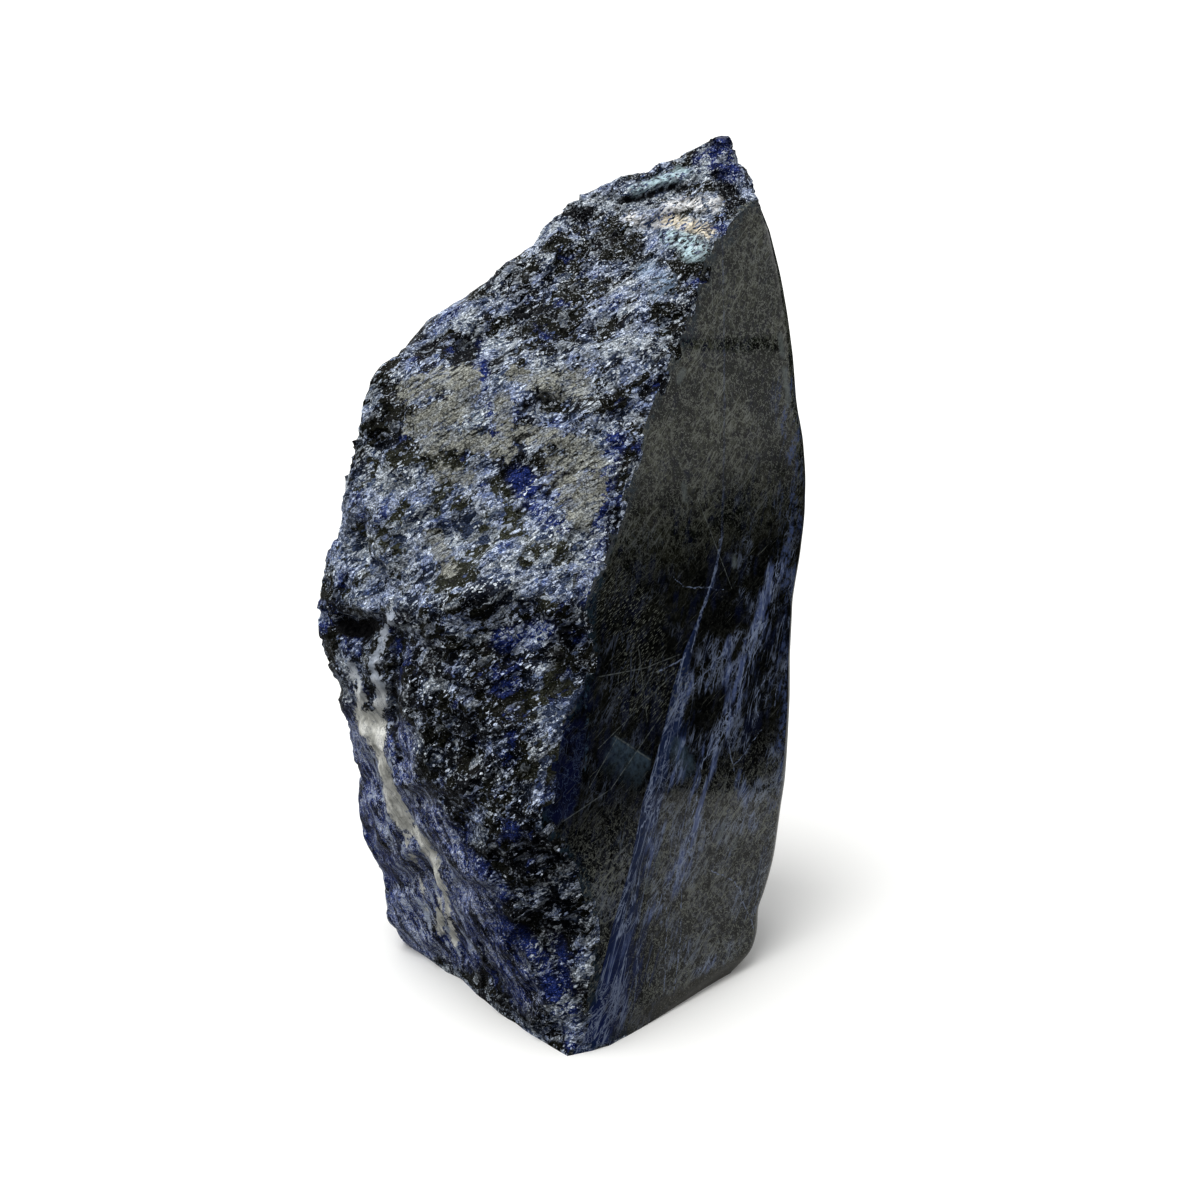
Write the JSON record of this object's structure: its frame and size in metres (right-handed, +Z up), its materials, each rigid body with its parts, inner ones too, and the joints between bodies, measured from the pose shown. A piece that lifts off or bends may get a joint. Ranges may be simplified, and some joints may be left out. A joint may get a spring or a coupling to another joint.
{
  "type": "rough sodalite",
  "caption": "Tall lump of dark blue sodalite with natural fracture sides, a cream vein, a ground and polished side and a sawn flat base to stand on.",
  "frame": {"origin": "middle of the bounding box on the plane that the sawn base rests on", "axes": "+Z up from the base to the tip, -Y towards the corner between the fracture front and the polished side, +X towards the polished side's right edge"},
  "size_m": [0.1176, 0.1064, 0.1965],
  "materials": {
    "stone": "natural fracture on most sides, ground and polished on one"
  },
  "bodies": {
    "root": {"stone": "stone"}
  },
  "joints": []
}
